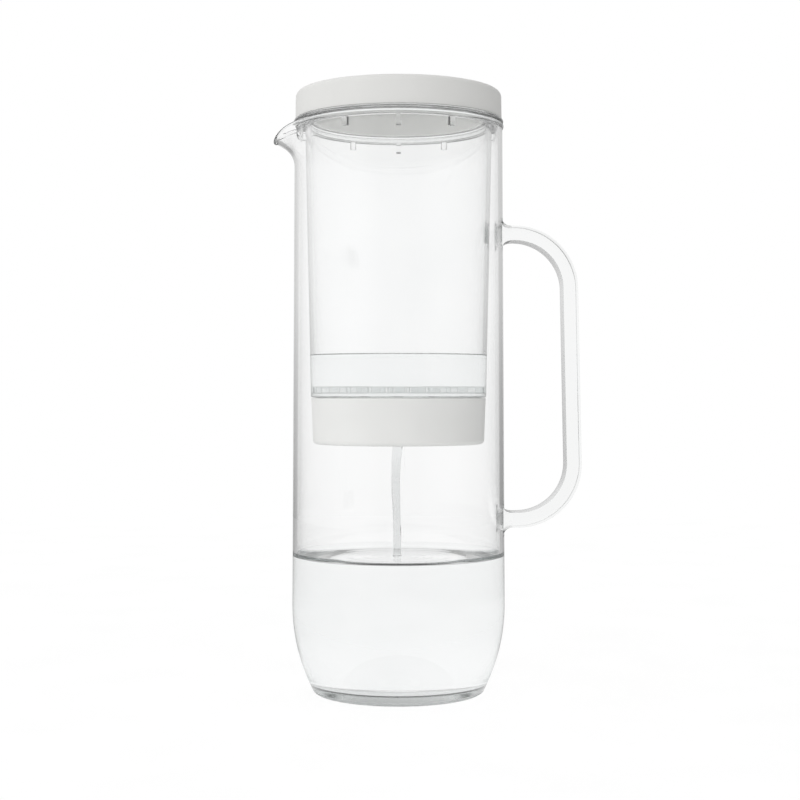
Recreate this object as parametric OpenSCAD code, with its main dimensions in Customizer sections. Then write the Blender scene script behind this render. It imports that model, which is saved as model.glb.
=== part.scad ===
// Water filter pitcher: a glass jug, a clear tumbler hung in its mouth, a filter cup under that, and a lid.
// Millimetres. The jug's axis is Z and its base is at z = 0. The spout points to -X and the handle to +X.

/* [Jug] */
// Outer diameter of the glass at the rim
jug_d = 99.3; // [90:0.1:115]
// Height of the glass
jug_h = 271; // [245:1:320]
// How much wider the wall is at the foot than at the rim, on the diameter
jug_flare = 2.2; // [0:0.2:5]
// Thickness of the glass wall
glass_wall = 2; // [1.6:0.1:2.6]
// Thickness of the glass base
glass_base = 5; // [3:0.5:9]
// Height at which the wall starts to curve in to the foot
foot_h = 42; // [28:1:60]
// Radius of that curve
foot_curve_r = 90; // [75:1:140]
// Radius of the edge that meets the table
foot_edge_r = 3.5; // [1.5:0.5:5]
// Radius of the corner inside, at the floor
floor_corner_r = 6; // [3:0.5:10]
// Depth of the hollow under the base
base_hollow = 0.8; // [0.4:0.1:2]
// Width of the flat ring that it stands on
base_ring_w = 8; // [4:0.5:14]
// How far the rim's bead stands out of the wall
bead_over = 0.6; // [0.2:0.1:1.2]

/* [Spout] */
// How far the lip reaches out of the wall
spout_reach = 10.05; // [7:0.05:10.5]
// Width of the spout
spout_w = 28; // [22:1:36]
// Depth below the rim at which the spout leaves the wall
spout_drop = 20.5; // [16:0.5:24]
// Radius of the curve under the spout
spout_bend_r = 11; // [11:0.5:15]
// Radius of the lip's line, seen from the side
lip_r = 20.4; // [17:0.2:26]
// Slope of that line at the tip, from upright
lip_tip_angle = 25; // [15:1:35]

/* [Handle] */
// Height of the top of the upper arm above the table
handle_top = 221; // [200:0.2:235]
// Height of the handle
handle_h = 143.1; // [110:0.1:160]
// Distance from the wall to the outer face
handle_reach = 35.7; // [33:0.1:48]
// Thickness of the strap
handle_t = 7; // [5:0.2:9]
// Width of the strap
handle_w = 18; // [14:0.5:24]
// Outer radius of the two bends
handle_bend_r = 30; // [18:0.5:32]
// Bevel on the strap's edges
handle_bevel = 0.5; // [0.3:0.1:2]
// Spread of the welded feet on the wall
weld_flare = 3; // [2:0.25:6]
// Lean of the strap from upright
handle_lean = 1.15; // [0:0.05:1.5]

/* [Tumbler] */
// Gap between the glass mouth and the tumbler's wall
neck_gap = 2.95; // [2.9:0.05:6]
// How much narrower the tumbler is at its seat than at its mouth, on the radius
cup_taper = 2.8; // [1:0.1:5]
// Depth from the mouth to the seat
cup_depth = 132; // [100:1:160]
// Thickness of the tumbler's wall
cup_wall = 2; // [1.5:0.1:2.5]
// Thickness of the tumbler's floor
cup_floor = 2.5; // [2:0.1:4]
// Height of the solid ring over the seat
seat_h = 4.7; // [4:0.1:7]
// Length of the spigot below the seat
spigot_h = 6.8; // [5:0.2:9]
// Thickness of the spigot's wall
spigot_wall = 2.2; // [1.8:0.1:3]
// Diameter of the floor's holes
floor_hole_d = 5; // [4:0.2:7]
// Overhang of the tumbler's lip
cup_lip = 1.3; // [0.8:0.1:1.6]
// Height of the lugs that the collar snaps over
lug_h = 4; // [2.5:0.1:6]
// Width of the lugs
lug_w = 3; // [2:0.1:5]
// How far the lugs stand out
lug_out = 1.5; // [1:0.1:2]
// Angle of the lugs from the front and the back
lug_angle = 32; // [22:1:68]

/* [Collar] */
// Thickness of the flange that hangs on the rim
flange_t = 1.65; // [1.4:0.05:2.5]
// Overhang of the flange beyond the wall of the glass
flange_over = 0.4; // [0:0.1:1]
// Depth of the sleeve below the flange
sleeve_h = 2.5; // [2.2:0.1:4]
// Depth of the ribs below the sleeve
rib_h = 5.1; // [3:0.1:8]
// Thickness of the ribs
rib_t = 2.3; // [1.6:0.1:3.5]
// Thickness of the mouth gasket
gasket_h = 1.4; // [1:0.1:1.8]
// Depth of the gasket's groove
gasket_bite = 0.8; // [0.5:0.1:1]
// How far the gasket stands out of the groove
gasket_proud = 0.35; // [0.2:0.05:0.5]

/* [Lid] */
// How far the lid's edge stays inside the flange's edge
lid_inset = 0.8; // [0.2:0.1:1.5]
// Draft of the lid's side, on the radius
lid_draft = 0.2; // [0:0.1:0.8]
// Height of the lid over the flange
lid_h = 13.65; // [11:0.05:22]
// Thickness of the lid's wall and top
lid_wall = 2.2; // [1.6:0.1:2.6]
// Radius of the lid's top edge
lid_edge_r = 3; // [1.5:0.1:4]
// Gap between the liner and the tumbler's mouth
liner_gap = 1.2; // [0.6:0.1:2.5]
// Thickness of the liner
liner_wall = 2; // [1.6:0.1:2.4]
// Depth to which the liner enters the tumbler
liner_depth = 1; // [0.6:0.1:2]
// Thickness of the liner's two ledges
ledge_t = 1.5; // [1:0.1:2]
// Thickness of the lid seal
lid_seal_h = 1.3; // [1:0.1:2]

/* [Filter] */
// Height of the filter cup
filter_h = 22.1; // [20:0.1:30]
// How far the filter cup's side stays inside the tumbler's
filter_inset = 0.2; // [0:0.1:0.5]
// Thickness of the filter cup's wall at its rim
filter_wall = 2.75; // [2.3:0.05:3.5]
// Draft of the filter cup, on the radius
filter_draft = 0.8; // [0.3:0.1:1.5]
// Thickness of the filter cup's floor
filter_floor = 2.2; // [1.8:0.1:3]
// Radius of the filter cup's lower edge
filter_edge_r = 2.2; // [1:0.1:3]
// Diameter of the outlet
outlet_d = 5; // [3.5:0.1:7]
// Height of the filter seal
filter_seal_h = 2.3; // [1.8:0.1:3]
// Width of the filter seal
filter_seal_w = 1.1; // [0.8:0.05:1.2]
// Height of the ribs under the cartridge
support_h = 0.9; // [0.6:0.1:1.5]
// Thickness of those ribs
support_t = 1.2; // [0.8:0.1:2]
// Thickness of the cartridge's shell
shell_t = 1.5; // [1.2:0.1:1.6]
// Thickness of each felt pad
pad_t = 1.3; // [0.8:0.1:1.6]
// Share of the grains that is resin
resin_share = 0.45; // [0.3:0.05:0.7]
// Diameter of the cartridge's holes
pore_d = 3; // [2:0.1:4]
// Thickness of the cartridge seal
cartridge_seal_t = 1; // [0.8:0.1:1.5]

/* [Fits] */
// Gap between pieces that move past each other
slip = 0.35; // [0.3:0.05:0.45]
// Gap left where one piece rests on another
rest_gap = 0.15; // [0.1:0.05:0.25]
// Gap between pieces that snap together
snug = 0.05; // [0.03:0.01:0.1]

/* [Hidden] */
$fn = 96;
// Length of the straight steps that long curves are drawn in, and the fewest in any curve
step_len = 4;
step_min = 6;
// How far a cutter passes the face that it cuts
cut = 1;
// Turn of the bent tube that makes the spout
spout_turn = 95;

// Jug
rim_r = jug_d / 2;
foot_r = rim_r + jug_flare / 2;
foot_c = [foot_r - foot_curve_r, foot_h];
edge_run = sqrt(pow(foot_curve_r - foot_edge_r, 2) - pow(foot_h - foot_edge_r, 2));
edge_c = [foot_c[0] + edge_run, foot_edge_r];
edge_a = asin((foot_h - foot_edge_r) / (foot_curve_r - foot_edge_r));
inner_curve_r = foot_curve_r - glass_wall;
corner_rise = foot_h - glass_base - floor_corner_r;
corner_run = sqrt(pow(inner_curve_r - floor_corner_r, 2) - pow(corner_rise, 2));
corner_c = [foot_c[0] + corner_run, glass_base + floor_corner_r];
corner_a = asin(corner_rise / (inner_curve_r - floor_corner_r));
base_ring_r = edge_c[0] - base_ring_w;
bead_r = (glass_wall + bead_over) / 2;
bead_c = [rim_r - glass_wall + bead_r, jug_h - bead_r];
bead_a = acos((glass_wall - bead_r) / bead_r);
wall_top = bead_c[1] - bead_r * sin(bead_a);
mouth_r = rim_r - glass_wall;

// Spout
spout_r = spout_w / 2;
spout_c = [-(rim_r + spout_bend_r), jug_h - spout_drop];
tip_rise = sqrt(pow(spout_bend_r + glass_wall, 2) - pow(spout_bend_r - spout_reach, 2));
tip = [-(rim_r + spout_reach), spout_c[1] + tip_rise];
lip_c = [tip[0] + lip_r * cos(lip_tip_angle), tip[1] - lip_r * sin(lip_tip_angle)];
spout_top = jug_h - bead_r / 3;

// Handle
handle_bottom = handle_top - handle_h;
handle_mid = (handle_top + handle_bottom) / 2;
handle_x = wall_at(handle_mid) + handle_reach;
bend_x = handle_x - handle_bend_r;
bend_top = handle_top - handle_bend_r;
bend_bottom = handle_bottom + handle_bend_r;
strap_r = handle_bend_r - handle_t / 2;
weld_root = 2 * weld_flare;

// Tumbler and collar
cup_r = mouth_r - neck_gap;
seat_r = cup_r - cup_taper;
flange_z = jug_h + rest_gap;
mouth_z = flange_z + flange_t;
seat_z = mouth_z - cup_depth;
floor_top = seat_z + seat_h;
floor_bottom = floor_top - cup_floor;
lip_h = flange_t / 2;
flange_r = rim_r + flange_over;
sleeve_z = flange_z - sleeve_h;
gasket_r = mouth_r - slip;
sleeve_r = gasket_r - gasket_proud;
gasket_in_r = sleeve_r - gasket_bite;
gasket_z = sleeve_z + (sleeve_h - gasket_h) / 2;
rib_z = sleeve_z - rib_h;
rib_bite = (gasket_z - sleeve_z) / 2;

// Filter
filter_r = seat_r - filter_inset;
filter_top = seat_z - rest_gap * 2;
filter_z = filter_top - filter_h;
spigot_z = seat_z - spigot_h;
filter_bore_r = filter_r - filter_wall;
spigot_r = filter_bore_r - slip;
seal_out_r = filter_bore_r + filter_seal_w;
seal_z = seat_z - rest_gap - filter_seal_h;
filter_floor_top = filter_z + filter_floor;
shell_z = filter_floor_top + support_h + rest_gap;
shell_top = spigot_z - rest_gap - cartridge_seal_t;
shell_r = filter_bore_r - slip;
shell_in_r = shell_r - shell_t;
fill_r = shell_in_r - snug;
outlet_pad_z = shell_z + shell_t;
cover_z = shell_top - shell_t;
inlet_pad_z = cover_z - pad_t;
resin_z = outlet_pad_z + pad_t;
bed_h = inlet_pad_z - resin_z;
carbon_z = resin_z + bed_h * resin_share;

// Lid
lid_r = flange_r - lid_inset;
lid_z = mouth_z + rest_gap;
lid_top = lid_z + lid_h;
lid_under = lid_top - lid_wall;
lid_in_r = lid_r - lid_wall;
liner_r = cup_r - cup_wall - liner_gap;
liner_in_r = liner_r - liner_wall;
liner_z = mouth_z - liner_depth;
liner_ledge_z = lid_z + lid_seal_h;
liner_ledge_r = lid_in_r - snug;
lid_seal_out_r = cup_r + cup_lip;

// Number of straight steps in an arc
function steps(r, turn) = max(step_min, ceil(abs(turn) / 180 * PI * r / step_len));

// Points along an arc, without the first one if skip is 1
function arc(c, r, from, to, skip = 0) = [
  for (i = [skip : steps(r, to - from)])
    let (a = from + (to - from) * i / steps(r, to - from))
    [c[0] + r * cos(a), c[1] + r * sin(a)]
];

// Outer radius of the glass at a height above the foot
function wall_at(z) = foot_r + (rim_r - foot_r) * (z - foot_h) / (wall_top - foot_h);

// Outer radius of the tumbler at a height
function cup_at(z) = seat_r + cup_taper * (z - seat_z) / cup_depth;

// A flat ring
module ring(r_in, r_out, z, h) {
  translate([0, 0, z])
  difference() {
    cylinder(r = r_out, h = h);
    translate([0, 0, -cut]) cylinder(r = r_in, h = h + 2 * cut);
  }
}

// Round holes through a plate: one in the middle and rings of 6, 12 and 18, a hole's width from the edge
module hole_field(d, field_r, rings, z, h) {
  pitch = (field_r - d - d / 2) / rings;
  translate([0, 0, z - cut]) cylinder(d = d, h = h + 2 * cut);
  for (k = [1 : rings])
    for (i = [0 : 6 * k - 1])
      rotate([0, 0, i * 60 / k])
      translate([k * pitch, 0, z - cut])
      cylinder(d = d, h = h + 2 * cut);
}

// The drawn-out tube that the spout is cut from
module bent_tube(r) {
  translate([spout_c[0], 0, spout_c[1]])
  rotate([90, 0, 0])
  rotate_extrude(angle = spout_turn)
  translate([spout_bend_r + spout_r, 0])
  circle(r = r);
}

// The glass shell without its spout
module jug_shell() {
  rotate_extrude()
  polygon(concat(
    [[0, base_hollow], [base_ring_r, 0]],
    arc(edge_c, foot_edge_r, -90, -edge_a),
    arc(foot_c, foot_curve_r, -edge_a, 0, 1),
    arc(bead_c, bead_r, -bead_a, 180),
    arc(foot_c, inner_curve_r, 0, -corner_a),
    arc(corner_c, floor_corner_r, -corner_a, -90, 1),
    [[0, glass_base]]
  ));
}

// A cone down the middle of the glass wall, from the handle's foot to over the rim
module wall_core(inset, low, high) {
  translate([0, 0, low])
  cylinder(r1 = wall_at(low) - inset, r2 = wall_at(high) - inset, h = high - low);
}

module spout_wall() {
  difference() {
    intersection() {
      bent_tube(spout_r);
      translate([lip_c[0], 0, lip_c[1]])
      rotate([90, 0, 0])
      cylinder(r = lip_r, h = 2 * spout_w, center = true);
      translate([-2 * jug_d, -jug_d, 0])
      cube([4 * jug_d, 2 * jug_d, spout_top]);
    }
    wall_core(glass_wall / 2, jug_h - 2 * spout_drop, jug_h + spout_drop);
  }
}

module glass_jug() {
  color([0.86, 0.9, 0.9, 0.35])
  difference() {
    union() {
      jug_shell();
      spout_wall();
    }
    bent_tube(spout_r - glass_wall);
  }
}

// The strap's section, with bevelled edges
module strap_section() {
  t = handle_t / 2;
  w = handle_w / 2;
  b = handle_bevel;
  polygon([
    [t - b, -w], [t, -w + b], [t, w - b], [t - b, w],
    [-t + b, w], [-t, w - b], [-t, -w + b], [-t + b, -w]
  ]);
}

module strap_bend(z, turn) {
  translate([bend_x, 0, z])
  rotate([90, 0, 0])
  rotate([0, 0, turn])
  rotate_extrude(angle = 90)
  translate([strap_r, 0])
  strap_section();
}

// An arm from the bend into the wall
module strap_arm(z) {
  translate([rim_r - weld_root, 0, z])
  rotate([0, 90, 0])
  linear_extrude(height = bend_x - rim_r + weld_root)
  strap_section();
}

// Half the outline of a welded foot: wide at the wall, with hollow flanks
function weld_side(x, half) = concat(
  [[x - weld_root, half + weld_flare]],
  arc([x + weld_flare, half + weld_flare], weld_flare, 180, 270)
);

function weld_outline(x, half) =
  let (side = weld_side(x, half))
  concat(side, [for (i = [len(side) - 1 : -1 : 0]) [side[i][0], -side[i][1]]]);

module weld_foot(z) {
  x = wall_at(z);
  translate([0, 0, z])
  intersection() {
    rotate([90, 0, 0])
    linear_extrude(height = handle_w + 4 * weld_flare, center = true)
    polygon(weld_outline(x, handle_t / 2));
    linear_extrude(height = handle_t + 4 * weld_flare, center = true)
    polygon(weld_outline(x, handle_w / 2));
  }
}

module glass_handle() {
  color([0.86, 0.9, 0.9, 0.35])
  difference() {
    union() {
      translate([0, 0, handle_mid])
      rotate([0, -handle_lean, 0])
      translate([0, 0, -handle_mid]) {
        strap_bend(bend_top, 0);
        strap_bend(bend_bottom, -90);
        translate([handle_x - handle_t / 2, 0, bend_bottom])
        linear_extrude(height = bend_top - bend_bottom)
        strap_section();
        strap_arm(handle_top - handle_t / 2);
        strap_arm(handle_bottom + handle_t / 2);
      }
      weld_foot(handle_top - handle_t / 2);
      weld_foot(handle_bottom + handle_t / 2);
    }
    wall_core(0, foot_h, wall_top);
  }
}

module reservoir_cup() {
  color([0.9, 0.93, 0.93, 0.4])
  difference() {
    union() {
      rotate_extrude()
      polygon([
        [0, floor_bottom],
        [spigot_r - spigot_wall, floor_bottom],
        [spigot_r - spigot_wall, spigot_z],
        [spigot_r, spigot_z],
        [spigot_r, seat_z],
        [seat_r, seat_z],
        [cup_at(mouth_z - lip_h), mouth_z - lip_h],
        [cup_r + cup_lip, mouth_z - lip_h],
        [cup_r + cup_lip, mouth_z],
        [cup_r - cup_wall, mouth_z],
        [cup_at(floor_top) - cup_wall, floor_top],
        [0, floor_top]
      ]);
      for (a = [-90 - lug_angle, -90 + lug_angle, 90 - lug_angle, 90 + lug_angle])
        rotate([0, 0, a])
        translate([cup_at(sleeve_z - lug_h) - cup_wall / 2, -lug_w / 2, sleeve_z - snug - lug_h])
        cube([cup_wall / 2 + lug_out, lug_w, lug_h]);
    }
    hole_field(floor_hole_d, spigot_r - spigot_wall, 2, floor_bottom, cup_floor);
  }
}

// Outline of one gusset rib, rounded at its outer foot
module rib_outline() {
  r_in = cup_at(sleeve_z) + snug;
  r_out = sleeve_r - snug;
  round_r = min(r_out - r_in, rib_h) - snug;
  polygon(concat(
    [[r_in, sleeve_z + rib_bite], [r_in, rib_z]],
    arc([r_out - round_r, rib_z + round_r], round_r, -90, 0),
    [[r_out, sleeve_z + rib_bite]]
  ));
}

module collar_ring() {
  color([0.9, 0.93, 0.93, 0.4])
  union() {
    rotate_extrude()
    polygon([
      [cup_at(sleeve_z) + snug, sleeve_z],
      [sleeve_r, sleeve_z],
      [sleeve_r, gasket_z],
      [gasket_in_r, gasket_z],
      [gasket_in_r, gasket_z + gasket_h],
      [sleeve_r, gasket_z + gasket_h],
      [sleeve_r, flange_z],
      [flange_r, flange_z],
      [flange_r, mouth_z],
      [cup_r + cup_lip + snug, mouth_z],
      [cup_r + cup_lip + snug, mouth_z - lip_h],
      [cup_at(mouth_z - lip_h) + snug, mouth_z - lip_h]
    ]);
    for (a = [0 : 90 : 270])
      rotate([0, 0, a])
      rotate([90, 0, 0])
      linear_extrude(height = rib_t, center = true)
      rib_outline();
  }
}

module mouth_gasket() {
  color([0.93, 0.94, 0.94])
  ring(gasket_in_r + snug, gasket_r, gasket_z, gasket_h);
}

module lid_cap() {
  color([0.83, 0.83, 0.82])
  rotate_extrude()
  polygon(concat(
    [[lid_in_r, lid_z], [lid_r, lid_z]],
    arc([lid_r - lid_draft - lid_edge_r, lid_top - lid_edge_r], lid_edge_r, 0, 90),
    [[0, lid_top], [0, lid_under], [lid_in_r, lid_under]]
  ));
}

module lid_liner() {
  color([0.83, 0.83, 0.82])
  rotate_extrude()
  polygon([
    [liner_in_r, liner_z],
    [liner_r, liner_z],
    [liner_r, liner_ledge_z],
    [liner_ledge_r, liner_ledge_z],
    [liner_ledge_r, liner_ledge_z + ledge_t],
    [liner_r, liner_ledge_z + ledge_t],
    [liner_r, lid_under - ledge_t],
    [liner_ledge_r, lid_under - ledge_t],
    [liner_ledge_r, lid_under],
    [liner_in_r, lid_under]
  ]);
}

module lid_seal() {
  color([0.93, 0.94, 0.94])
  ring(liner_r + snug, lid_seal_out_r, lid_z, lid_seal_h);
}

module filter_cup() {
  low_r = filter_r - filter_draft;
  color([0.85, 0.85, 0.84])
  difference() {
    union() {
      rotate_extrude()
      polygon(concat(
        [[0, filter_z]],
        arc([low_r - filter_edge_r, filter_z + filter_edge_r], filter_edge_r, -90, 0),
        [
          [filter_r, filter_top],
          [seal_out_r, filter_top],
          [seal_out_r, seal_z],
          [filter_bore_r, seal_z],
          [filter_bore_r, filter_floor_top],
          [0, filter_floor_top]
        ]
      ));
      for (a = [0 : 60 : 300])
        rotate([0, 0, a])
        translate([outlet_d, -support_t / 2, filter_z + filter_floor / 2])
        cube([filter_bore_r - 2 * outlet_d, support_t, filter_floor / 2 + support_h]);
    }
    translate([0, 0, filter_z - cut]) cylinder(d = outlet_d, h = filter_floor + 2 * cut);
  }
}

module filter_seal() {
  color([0.93, 0.94, 0.94])
  ring(filter_bore_r, seal_out_r - snug, seal_z, filter_seal_h);
}

module cartridge_body() {
  color([0.94, 0.94, 0.93])
  difference() {
    translate([0, 0, shell_z]) cylinder(r = shell_r, h = shell_top - shell_z);
    translate([0, 0, outlet_pad_z]) cylinder(r = shell_in_r, h = shell_top);
    hole_field(pore_d, shell_in_r, 3, shell_z, shell_t);
  }
}

module cartridge_cover() {
  color([0.94, 0.94, 0.93])
  difference() {
    translate([0, 0, cover_z]) cylinder(r = fill_r, h = shell_t);
    hole_field(pore_d, shell_in_r, 3, cover_z, shell_t);
  }
}

module inlet_pad() {
  color([0.9, 0.9, 0.87])
  translate([0, 0, inlet_pad_z]) cylinder(r = fill_r, h = pad_t);
}

module carbon_bed() {
  color([0.1, 0.1, 0.1])
  translate([0, 0, carbon_z]) cylinder(r = fill_r, h = inlet_pad_z - carbon_z);
}

module resin_bed() {
  color([0.8, 0.62, 0.3])
  translate([0, 0, resin_z]) cylinder(r = fill_r, h = carbon_z - resin_z);
}

module outlet_pad() {
  color([0.9, 0.9, 0.87])
  translate([0, 0, outlet_pad_z]) cylinder(r = fill_r, h = pad_t);
}

module cartridge_seal() {
  color([0.93, 0.94, 0.94])
  ring(spigot_r - spigot_wall, shell_r, shell_top, cartridge_seal_t);
}

glass_jug();
glass_handle();
reservoir_cup();
collar_ring();
mouth_gasket();
lid_cap();
lid_liner();
lid_seal();
filter_cup();
filter_seal();
cartridge_body();
cartridge_cover();
inlet_pad();
carbon_bed();
resin_bed();
outlet_pad();
cartridge_seal();
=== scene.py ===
"""Water filter pitcher: smooth meshes for the pieces that show, and the finish of every piece.

Metres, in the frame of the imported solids: the jug's axis is Z, the spout points to -X and the handle to +X.
"""
import math

import bmesh
import bpy
from mathutils import Matrix, Vector


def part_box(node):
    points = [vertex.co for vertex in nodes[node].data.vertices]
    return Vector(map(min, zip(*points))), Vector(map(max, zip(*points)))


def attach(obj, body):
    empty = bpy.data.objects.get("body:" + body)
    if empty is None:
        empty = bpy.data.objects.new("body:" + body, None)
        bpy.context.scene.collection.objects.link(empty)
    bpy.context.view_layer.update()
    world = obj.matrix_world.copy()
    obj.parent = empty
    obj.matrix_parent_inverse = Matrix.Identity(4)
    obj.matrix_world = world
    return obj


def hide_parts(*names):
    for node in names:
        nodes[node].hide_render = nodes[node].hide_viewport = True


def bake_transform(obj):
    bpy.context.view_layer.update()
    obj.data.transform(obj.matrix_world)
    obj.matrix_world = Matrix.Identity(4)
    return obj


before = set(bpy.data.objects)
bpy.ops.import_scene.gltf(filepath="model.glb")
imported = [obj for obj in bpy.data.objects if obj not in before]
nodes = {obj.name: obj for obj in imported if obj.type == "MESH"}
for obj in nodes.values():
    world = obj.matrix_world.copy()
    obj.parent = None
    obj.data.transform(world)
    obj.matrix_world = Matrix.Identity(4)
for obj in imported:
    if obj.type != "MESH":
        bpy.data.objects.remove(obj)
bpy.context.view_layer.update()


# Sizes that the frame gives

def reach(node):
    """Outer radius, lowest and highest point of a round node."""
    low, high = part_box(node)
    return high.y, low.z, high.z


FOOT_R, _, RIM_Z = reach("glass_jug")
LIP_R, SPIGOT_Z, MOUTH_Z = reach("reservoir_cup")
FLANGE_R, RIB_Z, _ = reach("collar_ring")
GASKET_R, GASKET_Z, GASKET_TOP = reach("mouth_gasket")
LID_R, LID_Z, LID_TOP = reach("lid_cap")
LEDGE_R, LINER_Z, _ = reach("lid_liner")
LID_SEAL_R, _, LID_SEAL_TOP = reach("lid_seal")
FILTER_R, FILTER_Z, FILTER_TOP = reach("filter_cup")
FILTER_SEAL_R, FILTER_SEAL_Z, FILTER_SEAL_TOP = reach("filter_seal")
HANDLE_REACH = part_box("glass_handle")[1].x

# Glass jug
GLASS_WALL = 0.002
GLASS_BASE = 0.005
WALL_TAPER = 0.0011
RIM_R = FOOT_R - WALL_TAPER
MOUTH_R = RIM_R - GLASS_WALL
FOOT_H = 0.042
FOOT_CURVE_R = 0.090
FOOT_EDGE_R = 0.0035
FLOOR_CORNER_R = 0.006
BASE_HOLLOW = 0.0008
BASE_RING_W = 0.008
BEAD_R = 0.0013

# Spout, rolled out of the wall
SPOUT_DEPTH = 0.0205
SPOUT_Z = RIM_Z - SPOUT_DEPTH
SPOUT_BEND_R = 0.012
SPOUT_TURN = math.radians(60)
SPOUT_LIP = 0.0056
SPOUT_SPREAD = math.radians(25)

# Handle
HANDLE_TOP = 0.221
HANDLE_BOTTOM = 0.0779
HANDLE_MID = (HANDLE_TOP + HANDLE_BOTTOM) / 2
HANDLE_T = 0.007
HANDLE_W = 0.018
HANDLE_EDGE = 0.0002
HANDLE_BEND_R = 0.0265
HANDLE_LEAN = math.radians(1.15)
WELD_R = 0.0042
WELD_EMBED = 0.0002

# Clear tumbler and its collar
LIP_W = 0.0013
CUP_R = LIP_R - LIP_W
CUP_TAPER = 0.0028
CUP_WALL = 0.002
CUP_DEPTH = 0.132
SEAT_Z = MOUTH_Z - CUP_DEPTH
SEAT_R = CUP_R - CUP_TAPER
SEAT_W = 0.0033
SEAT_EDGE_R = 0.0006
FLOOR_RISE = 0.0047
FLOOR_TOP = SEAT_Z + FLOOR_RISE
FLOOR_T = 0.0025
SPIGOT_R = SEAT_R - SEAT_W
SPIGOT_WALL = 0.0022
FLOOR_HOLE_R = 0.0025
FLANGE_T = 0.00165
FLANGE_Z = MOUTH_Z - FLANGE_T
FLANGE_EDGE_R = 0.0007
LIP_H = FLANGE_T / 2
SLEEVE_H = 0.0025
SLEEVE_Z = FLANGE_Z - SLEEVE_H
GASKET_PROUD = 0.00035
GASKET_EDGE = 0.00025
SLEEVE_R = GASKET_R - GASKET_PROUD
GROOVE_DEPTH = 0.0008
GROOVE_EDGE = 0.0001
GASKET_IN_R = SLEEVE_R - GROOVE_DEPTH
RIB_T = 0.0023
RIB_EDGE = 0.00012
LUG_H = 0.004
LUG_W = 0.003
LUG_OUT = 0.0015
LUG_ANGLE = math.radians(32)
SNUG = 0.00005

# Lid
LID_WALL = 0.0022
LID_DRAFT = 0.0002
LID_EDGE_R = 0.003
LINER_GAP = 0.0012
LINER_R = CUP_R - CUP_WALL - LINER_GAP
LINER_WALL = 0.002
LINER_EDGE_R = 0.0006
LEDGE_T = 0.0015

# Filter cup
FILTER_WALL = 0.00275
FILTER_BORE_R = FILTER_R - FILTER_WALL
FILTER_DRAFT = 0.0008
FILTER_EDGE_R = 0.0022
FILTER_FLOOR = 0.0022
OUTLET_R = 0.0025
BED_RIB_H = 0.0009
BED_RIB_T = 0.0012
BED_RIB_EDGE = 0.0001

# Water, which the picture shows in the jug and the tumbler
JUG_LEVEL = 0.0645
CUP_LEVEL = 0.1605
WATER_BITE = 0.0001
JUG_MENISCUS = 0.0027
CUP_MENISCUS = 0.0005
MENISCUS_FALL = 1.6
MENISCUS_REACH = 3
SURFACE_BAND = 0.0075
RIPPLE_H = 0.00022
RIPPLE_LENGTH = 0.0075
RIPPLE_FADE = 0.025
STREAM_R = 0.0022
STREAM_THIN = 0.0004
STREAM_DRIFT = -0.001
STREAM_SWAY = 0.0003
STREAM_SWELL = 0.00006
STREAM_FOOT = 0.0004
STREAM_OVAL = 0.05
STREAM_FLUTE = 0.06

# Edges that several pieces share
TIGHT_EDGE = 0.0002
SMALL_EDGE = 0.0003
SOFT_EDGE = 0.0004
INNER_CORNER_R = 0.0008

# Mesh density. SUPPORT is how far beside a rounded edge a row of points keeps the flat flat.
SEGMENTS = 256
STAGE_SEGMENTS = 96
PIN_SEGMENTS = 40
CURVE_STEPS = 18
BEAD_STEPS = 12
BEND_STEPS = 24
WELD_STEPS = 10
HOLLOW_ROWS = 12
BASE_ROWS = 8
WET_ROWS = 10
WALL_ROWS = 74
SPOUT_ROWS = 30
CUP_ROWS = 40
CUP_BASE_ROWS = 12
WATER_SIDE_ROWS = 6
MENISCUS_ROWS = 24
SURFACE_ROWS = 120
STREAM_ROWS = 70
STREAM_SIDES = 32
SUPPORT = 0.0003
SUPPORT_SHARE = 0.04
LARGEST_SHARE = 0.45
SHARP = math.radians(40)

# Faces by the Z of their normal: flat ones, and those that lean at all
FLAT = 0.5
LEANING = 0.3

# Faces deeper than this share of the tumbler's wall are its inner side
INSIDE_SHARE = 0.8

# Marks that faces of clear pieces carry, where 1 is fully wet or hazy.
# The walls of the floor's holes go past 1: they hardly bend light and show as faintly as in the photo.
WELD_HAZE = 0.6
HOLE_WET = 1.25

# Stage, and the camera level with the middle of the jug
STAGE_R = 1.1
STAGE_T = 0.0025
STAGE_GAP = 0.0002
PIXELS = 800
CAMERA_AT = (0.0007, -0.776, 0.1437)
LENS = 72.9
SENSOR = 36
NEAREST = 0.01
HORIZON_ABOVE_CENTRE = 9

# Light of the floor as the camera sees it, as it lights matt surfaces, and as mirrored rays meet it
FLOOR_SEEN = 0.905
FLOOR_LIT = 0.85
FLOOR_DIM = 0.28
FLOOR_FRONT = 0.36
FLOOR_ASIDE = 0.2
FLOOR_NEAR = 0.35
FLOOR_BEHIND = 0.45

# Where the floor's levels start and are full: distances, or shares of the distance for those to the side. The
# glow that mirrored rays meet on the floor is painted light and shade: a painted shadow under the jug,
# lighter round it, in front, to the sides and straight behind.
SHADOW_UNDER_JUG = (0.03, 0.045)
NEAR_JUG = (0.15, 0.07)
BEHIND_JUG = (0.12, 0.2)
ASIDE = (0.25, 0.7)
STRAIGHT = (0.25, 0.1)

# Light of the surroundings as it lights matt surfaces
LIT_LEVEL = 0.56
LIT_TO_RIGHT = -0.5
LIT_TO_BACK = -0.5
LIT_ABOVE = 0.4

# Light of the surroundings as mirrored rays meet it: (height, level) pairs, and what is added by direction
SURROUNDINGS = ((-0.1, 0.28), (0, 0.43), (0.06, 0.53), (0.18, 0.53), (0.45, 0.65), (0.8, 0.9))
TO_RIGHT = -0.12
TO_FRONT = 0.4
TO_SIDES = 0.6
SIDES_FROM = 0.35
OVER_BACK = 0.8

# White backdrop: how straight behind it lies, and after how many passes a ray meets it anywhere
BACKDROP = (0.984, 0.993)
DEEP_PASSES = 8.5
LOST_BOUNCES = 13.5


# Mesh helpers

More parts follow.
